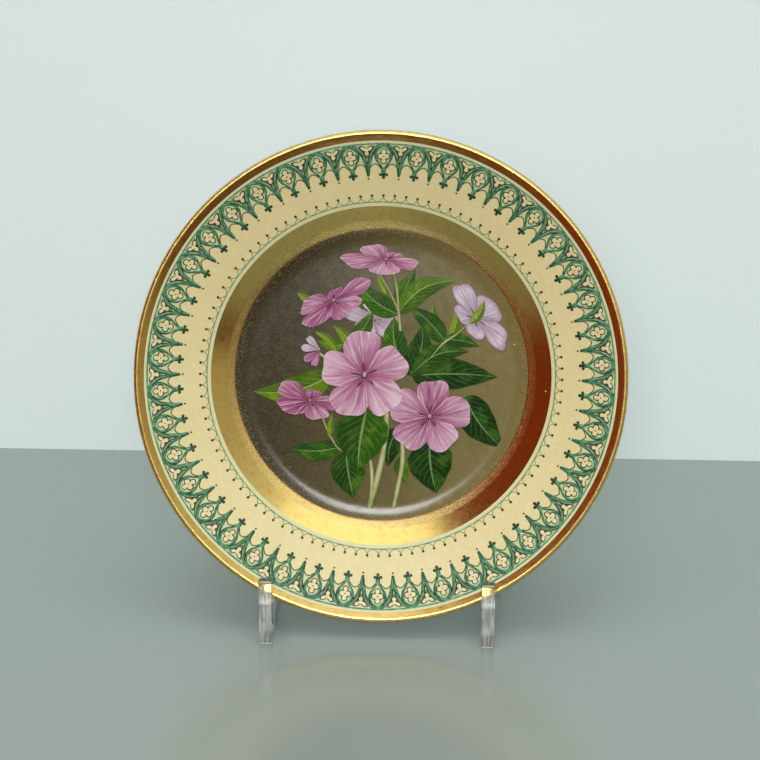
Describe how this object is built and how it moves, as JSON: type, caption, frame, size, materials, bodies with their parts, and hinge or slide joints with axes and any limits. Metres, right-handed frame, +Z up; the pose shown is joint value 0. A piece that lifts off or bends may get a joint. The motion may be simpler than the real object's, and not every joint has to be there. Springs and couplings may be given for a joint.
{
  "type": "plate display stand",
  "caption": "Slot-together clear acrylic plate stand with hooked cheeks and drop-in crossbars, holding a round decorated porcelain plate that lifts off.",
  "frame": {"origin": "on the table, midway between the cheeks and midway between the front and rear ends of the base", "axes": "+Z up, -Y towards the viewer and the painted face of the plate, +X to the viewer's right"},
  "size_m": [0.24, 0.115, 0.2423],
  "materials": {
    "acrylic": "polished",
    "clear_pad": "satin",
    "porcelain": "gloss"
  },
  "bodies": {
    "stand": {"left_cheek": "acrylic", "right_cheek": "acrylic", "left_rim_pad": "clear_pad", "right_rim_pad": "clear_pad", "left_back_pad": "clear_pad", "right_back_pad": "clear_pad", "left_front_foot_pad": "clear_pad", "right_front_foot_pad": "clear_pad", "left_rear_foot_pad": "clear_pad", "right_rear_foot_pad": "clear_pad"},
    "upper_crossbar": {"upper_crossbar": "acrylic"},
    "lower_crossbar": {"lower_crossbar": "acrylic"},
    "plate": {"plate": "porcelain"}
  },
  "joints": [
    {"name": "plate_lift", "type": "slide", "parent": "stand", "child": "plate", "axis": [0, 0.225, 0.9744], "range_m": [0, 0.16]},
    {"name": "upper_crossbar_lift", "type": "slide", "parent": "stand", "child": "upper_crossbar", "axis": [0, 0.225, 0.9744], "range_m": [0, 0.03]},
    {"name": "lower_crossbar_lift", "type": "slide", "parent": "stand", "child": "lower_crossbar", "axis": [0, 0, 1], "range_m": [0, 0.012]}
  ]
}
